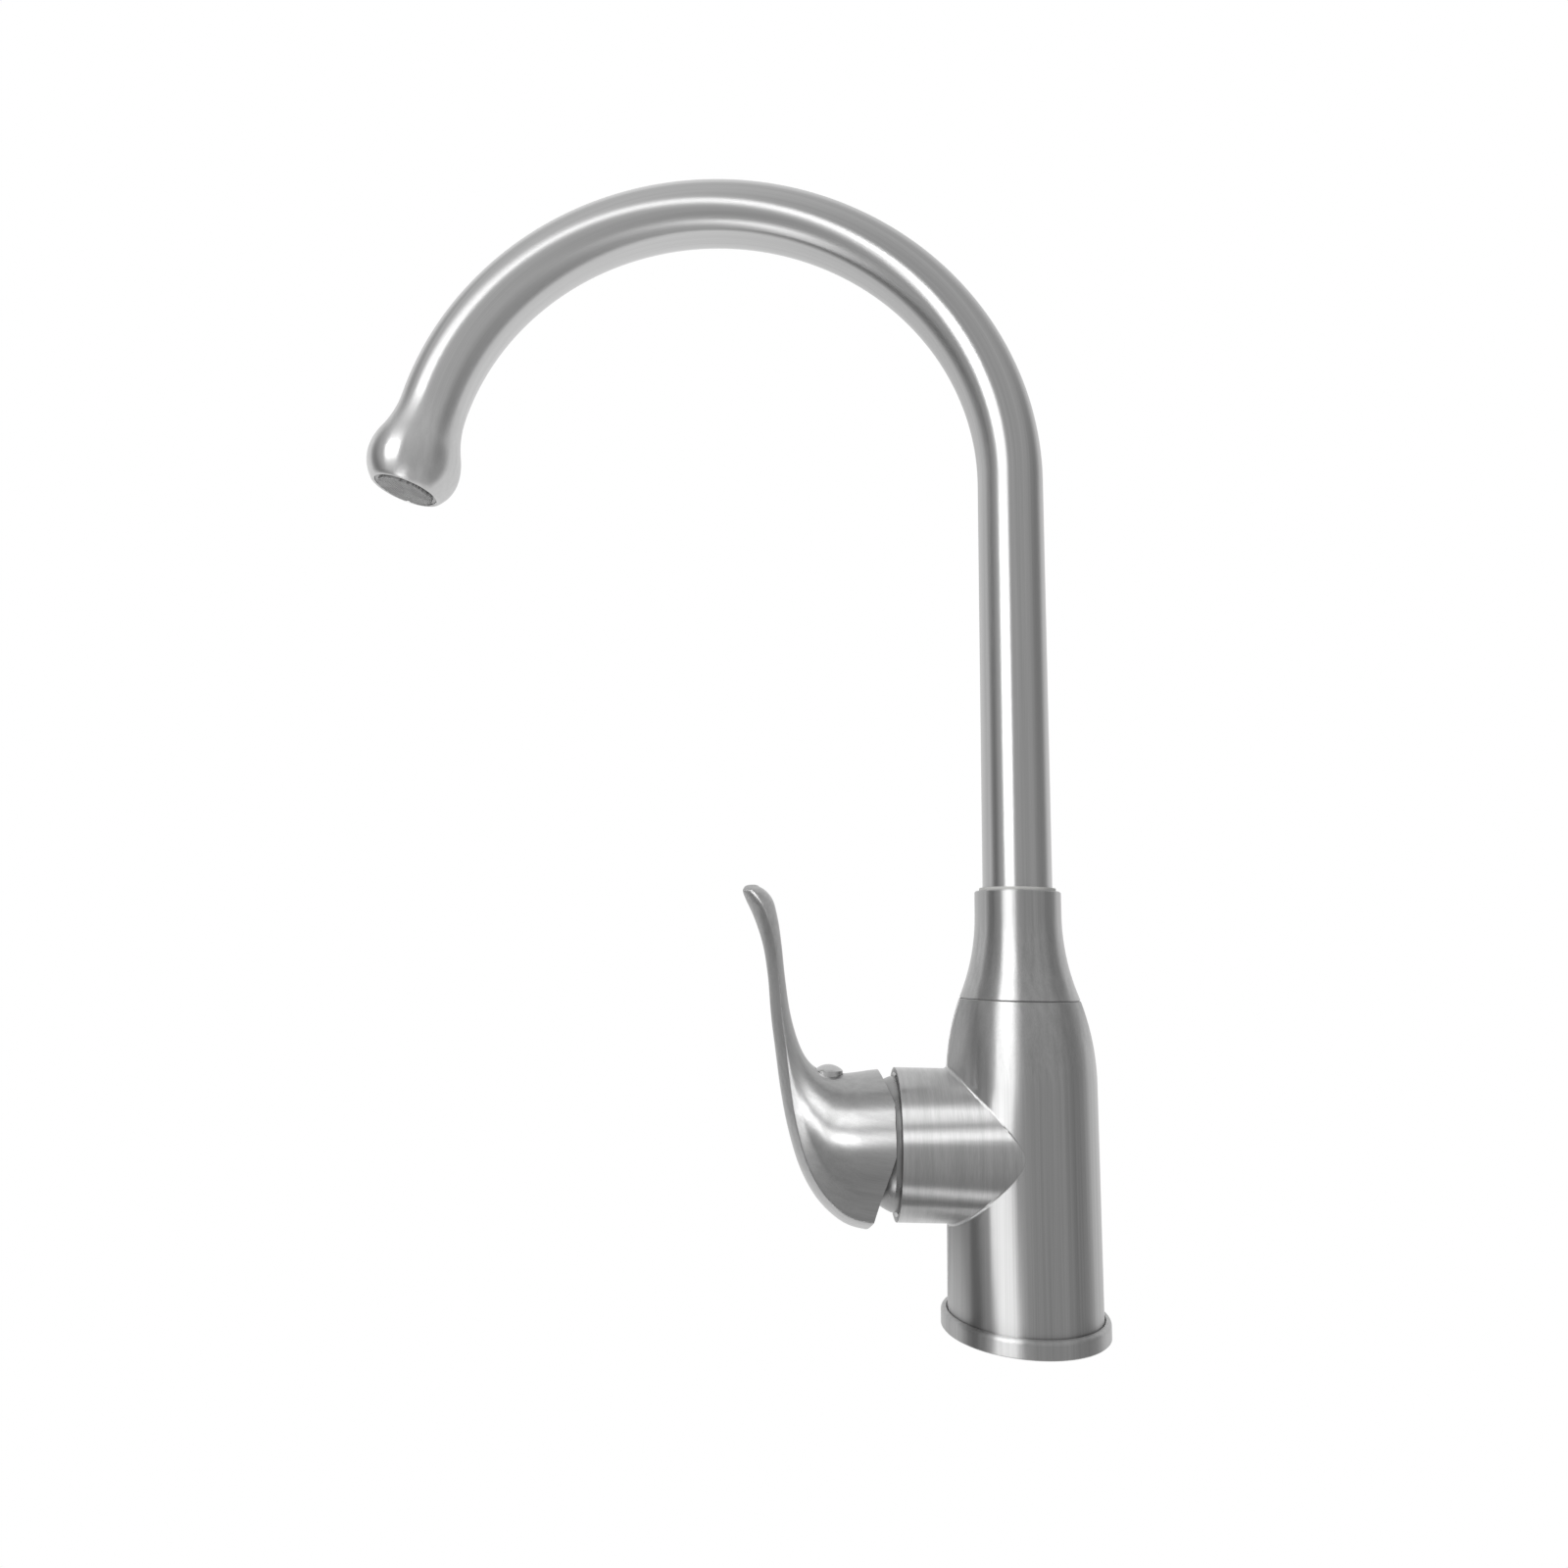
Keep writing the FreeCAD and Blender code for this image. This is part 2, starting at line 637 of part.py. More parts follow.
def disc_driver():
    """Carrier on the moving disc, with ribs for the rotor and a socket for the toe."""
    top = driver_face + driver_h
    shape = drum(driver_r, driver_face, top, 0, -closed_drop)
    reach = driver_rib_length / 2
    ribs = []
    for side in (-1, 1):
        x0 = side * driver_rib_x - driver_rib_w / 2
        ribs.append(block(x0, x0 + driver_rib_w, -closed_drop - reach, -closed_drop + reach,
                          driver_face, top + driver_rib_h))
    half = toe_r + toe_gap
    socket = block(-half, half, -half, half, driver_face - cut_over, top + cut_over)
    return shape.fuse(ribs).cut(socket).removeSplitter()


def cartridge_housing():
    shell = ring(cartridge_r, housing_r_in, cartridge_seat + base_flange_h, neck_face)
    roof = ring(cartridge_r, rotor_neck_r, roof_face, neck_face)
    neck = ring(rotor_neck_r + housing_neck_wall, rotor_neck_r, roof_face, neck_face + housing_neck_h)
    return shell.fuse([roof, neck]).removeSplitter()


def cross_pin(radius, half_length):
    """Cylinder along X through the pivot, in the boss's frame."""
    start = Vector(-half_length, 0, pivot_reach)
    return Part.makeCylinder(radius, 2 * half_length, start, Vector(1, 0, 0))


def rotor():
    """Turning carrier of the lever stem, slotted for its swing and grooved for the driver."""
    plate = drum(rotor_plate_r, rotor_face, rotor_face + rotor_plate_h)
    shape = plate.fuse(drum(rotor_neck_r - running_gap, rotor_face, rotor_top))
    half = stem_w / 2 + seat_gap
    tools = [cross_pin(pin_r, rotor_plate_r)]
    tools.append(block(-half, half, -stem_slot_down, stem_slot_up, rotor_face - cut_over,
                       rotor_top + cut_over))
    for side in (-1, 1):
        x0 = side * driver_rib_x - driver_rib_w / 2 - seat_gap / 2
        tools.append(block(x0, x0 + driver_rib_w + seat_gap, -rotor_plate_r, rotor_plate_r,
                           rotor_face - cut_over, rotor_face + driver_rib_h))
    return shape.cut(tools).removeSplitter()


def stem_pin():
    return cross_pin(pin_r, rotor_neck_r - running_gap - pin_recess)


def lever_stem():
    """Steel stem: ball toe in the driver, arm on the pin and a square for the handle."""
    toe = pivot_reach - toe_arm
    ball = Part.makeSphere(toe_r, Vector(0, 0, toe))
    arm_foot = toe + toe_r + cut_over
    stem_end = boss_reach + stem_end_out
    arm = block(-stem_w / 2, stem_w / 2, -stem_depth / 2, stem_depth / 2, arm_foot, stem_end)
    shank = drum(shank_r, toe, arm_foot + cut_over)
    half = stem_square / 2
    square = block(-half, half, -half, half, boss_reach + stem_square_out, stem_end)
    shape = arm.fuse([ball, shank, square])
    return shape.cut(cross_pin(pin_r + running_gap, stem_w)).removeSplitter()


def retaining_nut():
    """Brass nut that clamps the cartridge, with six flats for a spanner."""
    hex_flats = nut_corner_r * math.sqrt(3)
    hex_top = nut_top + nut_hex_h
    shape = drum(nut_thread_r, neck_face, nut_top).fuse(hexagon(hex_flats, neck_face, hex_top))
    return shape.cut(drum(nut_bore_r, neck_face - cut_over, hex_top + cut_over)).removeSplitter()


def trim_cap():
    """Cover over the nut, with a ball face that the hub swings round."""
    ball = Part.makeSphere(cap_dome_r, Vector(0, 0, pivot_reach))
    outer = drum(cap_r, nut_top, pivot_reach + cap_dome_r).common(ball)
    inner_ball = Part.makeSphere(cap_dome_r - cap_wall, Vector(0, 0, pivot_reach))
    inner = drum(cap_r - cap_wall, nut_top - cut_over, pivot_reach + cap_dome_r).common(inner_ball)
    hole = drum(rotor_neck_r + cap_hole_gap, nut_top, pivot_reach + cap_dome_r + cut_over)
    lip_low = nut_top + nut_hex_h / 2
    lip = ring(cap_r - cap_wall, nut_corner_r + thread_gap, lip_low, lip_low + cap_lip_h)
    return outer.cut([inner, hole]).fuse(lip).removeSplitter()


# Lever handle

def handle_point(out, level):
    """Point on the mirror plane from its distance out and its level."""
    up = level * hub_r if level <= 1 else hub_r + (level - 1) * lever_h
    return Vector(0, -boss_reach - out, boss_z + up)


def section_rows(back, front, crease_share, half_width, flat):
    """Points across the front and the back of one lens-shaped section, side to side."""
    start = handle_point(*back)
    nose = handle_point(*front)
    along = (nose - start).normalize()
    crease = start + (nose - start) * crease_share
    side = Vector(half_width * hub_r, 0, 0)
    near_front = crease + along * (flat / 2)
    near_back = crease - along * (flat / 2)
    front_arc = Part.Arc(near_front + side, nose, near_front - side).toShape()
    back_arc = Part.Arc(near_back + side, start, near_back - side).toShape()
    return front_arc.discretize(front_points), back_arc.discretize(back_points)


def stations(rows):
    """Shared parameters along the handle, from the mean distance between its sections."""
    places = [0.0]
    for row, after in zip(rows, rows[1:]):
        steps = [a.distanceToPoint(b) for a, b in zip(row, after)]
        places.append(places[-1] + sum(steps) / len(steps))
    return [place / places[-1] for place in places]


def even_shares(count):
    """Parameters from 0 to 1 in equal steps."""
    return [number / (count - 1) for number in range(count)]


def curve_through(points, parameters):
    curve = Part.BSplineCurve()
    curve.interpolate(Points=points, Parameters=parameters)
    return curve


def skin(rows, along):
    """Smooth surface through rows of points, with the same parameters along every column."""
    row_curves = [curve_through(row, even_shares(len(row))) for row in rows]
    columns = [curve_through(list(column), along)
               for column in zip(*[curve.getPoles() for curve in row_curves])]
    surface = Part.BSplineSurface()
    surface.buildFromPolesMultsKnots(
        [column.getPoles() for column in columns],
        row_curves[0].getMultiplicities(), columns[0].getMultiplicities(),
        row_curves[0].getKnots(), columns[0].getKnots(), False, False, 3, 3)
    return surface.toShape()


def handle_blank():
    """Solid handle: front and back skins, the flats of the creases and two end faces."""
    fronts, backs = zip(*[section_rows(*section) for section in handle_sections])
    along = stations([front + back for front, back in zip(fronts, backs)])
    faces = [skin(fronts, along), skin(backs, along)]
    for end in (0, -1):
        edges = [curve_through([row[end] for row in rows], along).toShape() for rows in (fronts, backs)]
        faces.append(Part.makeRuledSurface(*edges))
        rims = [curve_through(rows[end], even_shares(len(rows[end]))).toShape()
                for rows in (fronts, backs)]
        lines = [Part.makeLine(fronts[end][side], backs[end][side]) for side in (0, -1)]
        faces.append(Part.Face(Part.Wire(Part.__sortEdges__(rims + lines))))
    shell = Part.makeShell(faces)
    shell.sewShape()
    solid = Part.makeSolid(shell)
    if solid.Volume < 0:
        solid.reverse()
    return solid


def hub_relief():
    """Room cut behind the hub: a straight rim, a brow above and a deep relief below."""
    rim_y = -boss_reach - hub_gap
    drop_slope = (relief_out - hub_gap) / relief_drop
    brow_slope = (brow_out - hub_gap) / (brow_up - brow_start_up)
    below = 2 * relief_drop
    above = 2 * brow_up
    corners = [
        (rim_y, boss_z), (rim_y, boss_z + brow_start_up),
        (rim_y - brow_slope * (above - brow_start_up), boss_z + above),
        (0, boss_z + above), (0, boss_z - below), (rim_y - drop_slope * below, boss_z - below)]
    points = [Vector(-2 * boss_r, y, z) for y, z in corners]
    face = Part.Face(Part.makePolygon(points + points[:1]))
    return face.extrude(Vector(4 * boss_r, 0, 0))


def lever_handle():
    """Hub and lever in one casting, hollowed round the trim cap and bored for the stem."""
    hollow = Part.makeSphere(cap_dome_r + hub_cavity_gap, Vector(0, -pivot_reach, boss_z))
    half = stem_square / 2 + socket_gap
    socket = in_boss(block(-half, half, -half, half, pivot_reach, boss_reach + stem_end_out + seat_gap))
    screw_hole = drum(screw_r + thread_gap / 2, boss_z, button_top_z, 0, -screw_reach)
    button_seat = drum(button_r + thread_gap, button_seat_z, button_top_z, 0, -screw_reach)
    return handle_blank().cut([hub_relief(), hollow, socket, screw_hole, button_seat])


def grub_screw():
    """Screw that grips the stem's square, with a six-sided key socket in its top."""
    low = boss_z + stem_square / 2
    top = low + screw_length
    shape = drum(screw_r, low, top).cut(hexagon(screw_key_flats, top - screw_key_depth, top + cut_over))
    shape.translate(Vector(0, -screw_reach, 0))
    return shape


def index_button():
    """Press-in cover of the screw hole with a low dome."""
    dome_r = (button_r**2 + button_dome_h**2) / (2 * button_dome_h)
    half_way = button_top_z - dome_r + math.sqrt(dome_r**2 - (button_r / 2)**2)
    dome = turned([(0, button_seat_z), (button_r, button_seat_z), (button_r, button_edge_z),
                   arc((button_r / 2, half_way), (0, button_top_z))])
    peg = drum(screw_r - thread_gap, button_seat_z - button_peg_h, button_edge_z)
    shape = dome.fuse(peg).removeSplitter()
    shape.translate(Vector(0, -screw_reach, 0))
    return shape


pieces = {
    "base_ring": base_ring(),
    "base_seal": base_seal(),
    "faucet_body": faucet_body(),
    "spout_collar": spout_collar(),
    "riser_bush": riser_bush(),
    "thrust_washer": thrust_washer(),
    "spout_fitting": spout_fitting(),
    "spout_o_rings": spout_o_rings(),
    "spout_tube": spout_tube(),
    "aerator_shell": at_mouth(aerator_shell()),
    "aerator_grid": at_mouth(aerator_grid()),
    "aerator_screen": at_mouth(aerator_screen()),
    "aerator_diffuser": at_mouth(aerator_diffuser()),
    "aerator_gasket": at_mouth(aerator_gasket()),
    "cartridge_base": in_boss(cartridge_base()),
    "port_seals": in_boss(seal_set(cartridge_seat)),
    "disc_seals": in_boss(seal_set(disc_face - port_seal_h)),
    "fixed_disc": in_boss(fixed_disc()),
    "moving_disc": in_boss(moving_disc()),
    "disc_driver": in_boss(disc_driver()),
    "cartridge_housing": in_boss(cartridge_housing()),
    "rotor": in_boss(rotor()),
    "stem_pin": in_boss(stem_pin()),
    "lever_stem": in_boss(lever_stem()),
    "retaining_nut": in_boss(retaining_nut()),
    "trim_cap": in_boss(trim_cap()),
    "lever_handle": lever_handle(),
    "grub_screw": grub_screw(),
    "index_button": index_button(),
}

os.makedirs("parts", exist_ok=True)
for name, shape in pieces.items():
    print(name, len(shape.Solids), shape.isValid(), round(shape.Volume, 1))
    shape.exportStep("parts/" + name + ".step")
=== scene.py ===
import bpy
import math
from mathutils import Matrix, Vector


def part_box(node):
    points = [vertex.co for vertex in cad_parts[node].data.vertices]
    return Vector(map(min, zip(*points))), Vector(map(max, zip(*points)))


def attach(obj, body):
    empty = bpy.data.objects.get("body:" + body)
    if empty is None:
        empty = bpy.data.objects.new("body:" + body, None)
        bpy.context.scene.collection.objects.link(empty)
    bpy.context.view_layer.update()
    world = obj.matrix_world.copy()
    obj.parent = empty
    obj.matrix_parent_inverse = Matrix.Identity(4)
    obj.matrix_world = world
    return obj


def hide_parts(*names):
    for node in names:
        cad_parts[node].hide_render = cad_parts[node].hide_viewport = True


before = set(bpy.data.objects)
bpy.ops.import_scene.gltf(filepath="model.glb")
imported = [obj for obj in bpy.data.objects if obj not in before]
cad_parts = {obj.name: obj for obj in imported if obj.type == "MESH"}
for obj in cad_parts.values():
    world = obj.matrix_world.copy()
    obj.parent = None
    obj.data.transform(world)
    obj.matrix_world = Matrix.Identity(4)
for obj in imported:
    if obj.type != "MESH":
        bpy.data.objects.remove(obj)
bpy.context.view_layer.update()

# Camera. It stands close in front of the faucet's right flank, at the height of the lever,
# and looks a little up and a little tilted, through a wide lens.

eye = Vector((0.3242, -0.0759, 0.1099))
look_up = 0.1667            # radians above the horizon
tilt = 0.0212               # radians, clockwise
photo_side = 1600           # pixels along each side of the square picture
focal_pixels = 1023.07

forward = Vector((-math.cos(look_up), 0, math.sin(look_up)))
level_right = Vector((0, 1, 0))
level_up = Vector((math.sin(look_up), 0, math.cos(look_up)))
picture_right = math.cos(tilt) * level_right + math.sin(tilt) * level_up
picture_up = math.cos(tilt) * level_up - math.sin(tilt) * level_right
lens = bpy.data.cameras.new("camera")
lens.lens = lens.sensor_width * focal_pixels / photo_side
lens.clip_start = 0.01
camera = bpy.data.objects.new("camera", lens)
camera.matrix_world = Matrix((picture_right, picture_up, -forward)).transposed().to_4x4()
camera.matrix_world.translation = eye
bpy.context.scene.collection.objects.link(camera)
bpy.context.scene.camera = camera
bpy.context.scene.view_settings.view_transform = "Standard"

# Studio. A white backdrop behind the faucet, a grey room in front of it, a dark flag on each side
# and a bright card low in front. Two softboxes hang at the left of the camera, one above the
# other, and a weak lamp far below stands for light that a pale table would throw up.


class Wire:
    """A socket in a node tree. Arithmetic on it adds Math nodes, and add() adds any other node."""

    def __init__(self, tree, socket=None):
        self.tree = tree
        self.socket = socket

    def add(self, kind, sockets=None, output=0, **settings):
        node = self.tree.nodes.new("ShaderNode" + kind)
        for name, value in settings.items():
            setattr(node, name, value)
        for name, value in (sockets or {}).items():
            self.plug(node.inputs[name], value)
        return Wire(self.tree, node.outputs[output] if node.outputs else None)

    def plug(self, target, value):
        if isinstance(value, Wire):
            self.tree.links.new(value.socket, target)
        else:
            target.default_value = value

    def math(self, operation, *values):
        sockets = dict(enumerate((self, *values)))
        return self.add("Math", sockets, operation=operation)

    def __add__(self, other):
        return self.math("ADD", other)

    def __mul__(self, other):
        return self.math("MULTIPLY", other)

    def __sub__(self, other):
        return self.math("SUBTRACT", other)

    def __rsub__(self, other):
        return self * -1 + other

    __radd__ = __add__
    __rmul__ = __mul__

    def split(self):
        parts = self.add("SeparateXYZ", {"Vector": self}).socket.node.outputs
        return [Wire(self.tree, part) for part in parts]

    def step(self, low, high, start=0.0, end=1.0):
        """Smooth step from start to end as this value goes from low to high."""
        stops = {"Value": self, "From Min": low, "From Max": high, "To Min": start, "To Max": end}
        return self.add("MapRange", stops, interpolation_type="SMOOTHSTEP")


def band(value, centre, half_width, soft):
    """1 where the value is within half_width of the centre, falling smoothly to 0."""
    return (value - centre).math("ABSOLUTE").step(half_width - soft, half_width + soft, 1.0, 0.0)


def studio_world():
    """Room and backdrop. Around and height are the degrees of a direction seen from the faucet."""
    world = bpy.data.worlds.new("studio")
    world.use_nodes = True
    world.node_tree.nodes.clear()
    start = Wire(world.node_tree)
    toward = start.add("TexCoord", output="Generated")
    x, y, z = toward.split()
    around = y.math("ARCTAN2", x) * (180 / math.pi)
    height = z.math("ARCSINE") * (180 / math.pi)
    room = height.step(-75, 5, 0.34, 0.62) + height.step(22, 42, 0.0, 0.15)
    left_flag = band(around, -87, 11, 6) * height.step(-5, 20, 0.40, 0.27)
    right_flag = band(around, 82, 20, 10) * height.step(-10, 12, 0.08, 0.30)
    right_flag = right_flag * height.step(38, 52, 1.0, 0.0)
    room = room - left_flag * height.step(45, 65, 1.0, 0.0)
    room = room - right_flag
    backdrop = around.math("ABSOLUTE").step(101, 111)
    low_card = band(around, -45, 32, 8) * band(height, -58, 5, 3)
    card_glow = 4.0
    tone = room + backdrop * (1 - room) + low_card * card_glow
    mirrored = start.add("LightPath", output="Is Glossy Ray")
    through = start.add("LightPath", output="Is Transmission Ray")
    seen = start.add("LightPath", output="Is Camera Ray")
    rays = seen.math("MAXIMUM", (mirrored + through) * backdrop)
    grey = start.add("Background", {"Color": tone, "Strength": 1.0})
    white = start.add("Background", {"Color": (1, 1, 1, 1), "Strength": 1.0})
    shown = start.add("MixShader", {0: rays, 1: grey, 2: white})
    start.add("OutputWorld", {"Surface": shown})
    bpy.context.scene.world = world


def softbox(name, around, height, distance, width, tall, glow):
    """Area lamp that faces the faucet. Around and height are degrees as seen from the faucet."""
    middle = Vector((0, 0, 0.15))
    lamp = bpy.data.lights.new(name, "AREA")
    lamp.shape = "RECTANGLE"
    lamp.size = width
    lamp.size_y = tall
    lamp.energy = glow * math.pi * width * tall
    placed = bpy.data.objects.new(name, lamp)
    turn = math.radians(around)
    climb = math.radians(height)
    flat = distance * math.cos(climb)
    away = Vector((flat * math.cos(turn), flat * math.sin(turn), distance * math.sin(climb)))
    placed.location = middle + away
    placed.rotation_euler = away.to_track_quat("Z", "Y").to_euler()
    placed.visible_camera = False
    bpy.context.scene.collection.objects.link(placed)
    return placed


def floor():
    """Pale floor. It keeps the faucet's shadow near the foot and turns white further out."""
    bpy.ops.object.select_all(action="DESELECT")
    bpy.ops.mesh.primitive_plane_add(size=12)
    plane = bpy.context.object
    plane.name = "floor"
    plane.visible_glossy = False
    plane.visible_shadow = False
    material = bpy.data.materials.new("floor")
    material.use_nodes = True
    material.node_tree.nodes.clear()
    start = Wire(material.node_tree)
    rays = start.add("LightPath", output="Is Camera Ray")
    reach = start.add("TexCoord", output="Object").add("VectorMath", operation="LENGTH")
    paint = start.add("BsdfDiffuse", {"Color": (0.95, 0.95, 0.95, 1)})
    glow = start.add("Emission", {"Color": (1, 1, 1, 1), "Strength": 1.0})
    shown = start.add("MixShader", {0: rays * reach.step(0.1, 0.9, 0.75, 1.0), 1: paint, 2: glow})
    start.add("OutputMaterial", {"Surface": shown})
    plane.data.materials.append(material)


studio_world()
softbox("lower_softbox", around=-38, height=14, distance=2.4, width=1.30, tall=0.60, glow=10.0)
upper = softbox("upper_softbox", around=-38, height=45, distance=2.4, width=1.30, tall=1.10, glow=5.0)
bounce = softbox("bounce_card", around=0, height=-70, distance=1.2, width=1.6, tall=1.6, glow=0.28)
floor()

# Base ring. Turned steel ring that the tower stands in, on a ledge inside it. After turning it is
# brushed upright with the rest of the tower.


def place_on(start):
    return start.add("TexCoord", output="Object")


def steel(name, grain, turn=0.25, tone=0.42, rough=0.40, spread=1.0, painted_sheen=None):
    """Satin steel, brushed. Grain gives the streaks' coordinates from the place on the piece, turn
    lays the highlights along the streaks or across them, and the last argument, if given, says
    where the colour is painted paler, a painted sheen.
    """
    material = bpy.data.materials.new(name)
    material.use_nodes = True
    start = Wire(material.node_tree)
    along = grain(place_on(start))
    fine = start.add("TexNoise", {"Vector": along, "Scale": 1.0, "Detail": 3.0, "Roughness": 0.6})
    cloud_size = 0.13       # of a streak's own scale
    wide = start.add("VectorMath", {0: along, "Scale": cloud_size}, operation="SCALE")
    cloud = start.add("TexNoise", {"Vector": wide, "Scale": 1.0, "Detail": 2.0})
    streak = fine * 0.6 + cloud * 0.4
    dark = [tone * 0.90] * 3 + [1.0]
    light = [tone * 1.10] * 3 + [1.0]
    colour = start.add("Mix", {"Factor": streak.step(0.3, 0.7), 6: dark, 7: light}, output=2,
                       data_type="RGBA")
    # Painted sheen: where a mask is given, the colour is mixed towards white there.
    if painted_sheen:
        white = (1, 1, 1, 1)
        colour = start.add("Mix", {"Factor": painted_sheen(place_on(start)), 6: colour, 7: white}, output=2,
                           data_type="RGBA")
    surface = material.node_tree.nodes["Principled BSDF"]
    surface.inputs["Metallic"].default_value = 1.0
    surface.inputs["Anisotropic"].default_value = spread
    surface.inputs["Anisotropic Rotation"].default_value = turn
    start.plug(surface.inputs["Base Color"], colour)
    start.plug(surface.inputs["Roughness"], streak.step(0.25, 0.75, rough + 0.03, rough - 0.03))
    bump = start.add("Bump", {"Height": fine, "Strength": 0.12, "Distance": 0.00002})
    start.plug(surface.inputs["Normal"], bump)
    return material


def finish(material, *nodes):
    """Give these parts of the frame this material."""
    for node in nodes:
        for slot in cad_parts[node].material_slots:
            slot.material = material


line = 5000                 # streaks per metre across the grain
run = 12                    # per metre along it


def upright(place):
    """Streaks that run up the piece."""
    return place.add("VectorMath", {0: place, 1: (line, line, run)}, operation="MULTIPLY")


upright_steel = steel("upright_steel", upright)
finish(upright_steel, "base_ring")

# Seals. The flat ring under the base, the O-rings and the valve's and aerator's seals are moulded
# black rubber, matt, with a fine skin.


def moulded(name, dark, light, rough, grit, depth):
    """Moulded rubber or plastic: cloudy tone and a fine grit in its skin."""
    material = bpy.data.materials.new(name)
    material.use_nodes = True
    start = Wire(material.node_tree)
    place = place_on(start)
    cloud = start.add("TexNoise", {"Vector": place, "Scale": 160.0, "Detail": 3.0})
    skin = start.add("TexNoise", {"Vector": place, "Scale": grit, "Detail": 2.0})
    colour = start.add("Mix", {"Factor": cloud.step(0.35, 0.65), 6: (*dark, 1), 7: (*light, 1)},
                       output=2, data_type="RGBA")
    surface = material.node_tree.nodes["Principled BSDF"]
    start.plug(surface.inputs["Base Color"], colour)
    start.plug(surface.inputs["Roughness"], skin.step(0.3, 0.7, rough - 0.06, rough + 0.06))
    start.plug(surface.inputs["Normal"], start.add("Bump", {"Height": skin, "Strength": 0.3,
                                                            "Distance": depth}))
    return material


black_rubber = moulded("black_rubber", (0.012, 0.012, 0.013), (0.028, 0.028, 0.030), 0.62,
                       2600.0, 0.00004)
finish(black_rubber, "base_seal", "spout_o_rings", "port_seals", "disc_seals", "aerator_gasket")

# Tower and boss. One casting: the bottle-shaped tower is brushed upright, and the boss that holds
# the valve is brushed round, so that its highlights run out along it.


def outward(place):
    """Streaks that run round the boss."""
    around = run * 20
    return place.add("VectorMath", {0: place, 1: (around, line, around)}, operation="MULTIPLY")


def comb(piece, centre):
    """Let the brushing run round the upright line through this point. A line far off makes it
    straight.
    """
    piece.data.use_auto_texspace = False
    piece.data.texspace_size = (1, 1, 1)
    piece.data.texspace_location = (*centre, 0)


far_left = (-1000, 0)
body = bpy.data.objects.new("tower_and_boss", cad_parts["faucet_body"].data.copy())
bpy.context.scene.collection.objects.link(body)
bpy.ops.object.select_all(action="DESELECT")
body.select_set(True)
bpy.context.view_layer.objects.active = body
bpy.ops.mesh.customdata_custom_splitnormals_clear()
bpy.ops.object.mode_set(mode="EDIT")
bpy.ops.mesh.select_all(action="SELECT")
bpy.ops.mesh.remove_doubles(threshold=1e-6)
bpy.ops.object.mode_set(mode="OBJECT")
bpy.ops.object.shade_smooth_by_angle(angle=math.radians(28))
comb(body, far_left)
body.data.materials.clear()
body.data.materials.append(upright_steel)
# The boss's steel is given a paler tone than the tower's: a painted highlight that brightens its bands,
# not a different metal.
body.data.materials.append(steel("boss_steel_painted_highlight", outward, turn=0.0, tone=0.46, rough=0.36))
tower_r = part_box("faucet_body")[1].x
skin = tower_r - 0.0002
clear = tower_r + 0.0001
boss_top = 0.08
for face in body.data.polygons:
    corners = [body.data.vertices[corner].co for corner in face.vertices]
    outside = all(corner.xy.length > skin for corner in corners) and face.center.z < boss_top
    if outside and face.center.y < 0 and face.center.xy.length > clear:
        face.material_index = 1
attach(body, "tower")
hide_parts("faucet_body")

# Collar, bush and thrust washer. The waisted collar screws on the tower and is brushed with it.
# The nylon bush shows as a thin lip round the riser.

finish(upright_steel, "spout_collar")
nylon = moulded("nylon", (0.30, 0.30, 0.29), (0.36, 0.36, 0.35), 0.42, 900.0, 0.00003)
finish(nylon, "riser_bush", "thrust_washer")

# Spout. One length of drawn tube, bent over a former and swelled at its end into a bell, then
# polished along its length with a belt.

foot_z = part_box("spout_tube")[0].z
tube_r = 0.011
bend_z = 0.2714             # where the riser ends and the bend starts
bend_r = 0.1019
bend_turn = math.radians(180 - 13.5)
bell_length = 0.032
bell_wide_at = 0.0096       # above the mouth
bell_r = 0.0153
crown_r = 0.021             # of the bell's outline where it is widest
lip_r = 0.0114
lip_round = 0.0003
mouth_bore_r = 0.0104
step_depth = 0.013          # from the mouth to the step that the gasket sits on
bore_r = 0.0100
tube_sides = 64
bend_steps = 96
bell_steps = 26


def bell_radius(height):
    """Radius of the bell at a height above its mouth: tuck, crown and waist, each an arc."""
    rise = bell_length - bell_wide_at
    swell = bell_r - tube_r
    both_r = (rise * rise + swell * swell) / (2 * swell)
    crown_top = bell_wide_at + crown_r * rise / both_r
    if height > crown_top:
        waist_r = both_r - crown_r
        return tube_r + waist_r - math.sqrt(waist_r**2 - (bell_length - height)**2)
    if height > bell_wide_at:
        return bell_r - crown_r + math.sqrt(crown_r**2 - (height - bell_wide_at)**2)
    tuck = bell_r - lip_r
    tuck_r = (bell_wide_at**2 + tuck * tuck) / (2 * tuck)
    return bell_r - tuck_r + math.sqrt(tuck_r**2 - (bell_wide_at - height)**2)


down = Vector((0, -math.sin(bend_turn), math.cos(bend_turn)))
bend_centre = Vector((0, -bend_r, bend_z))
bend_end = bend_centre + bend_r * Vector((0, math.cos(bend_turn), math.sin(bend_turn)))


def close_ring(piece, name):
    """Merge the last ring into the first, turn the faces outwards and smooth the piece."""
    piece.name = name
    bpy.ops.mesh.select_all(action="SELECT")
    bpy.ops.mesh.remove_doubles(threshold=1e-6)
    bpy.ops.mesh.normals_make_consistent(inside=False)
    bpy.ops.object.mode_set(mode="OBJECT")
    bpy.ops.object.shade_smooth_by_angle(angle=math.radians(35))


def start_ring(radius, place, turn=0.0):
    """New piece that starts as one ring of points."""
    bpy.ops.object.select_all(action="DESELECT")
    bpy.ops.mesh.primitive_circle_add(vertices=tube_sides, radius=radius, location=place,
                                      rotation=(turn, 0, 0))
    bpy.ops.object.transform_apply(location=True, rotation=True)
    bpy.ops.object.mode_set(mode="EDIT")
    return bpy.context.object


def widen_ring(factor, middle):
    bpy.ops.transform.resize(value=(factor, factor, factor), center_override=middle)


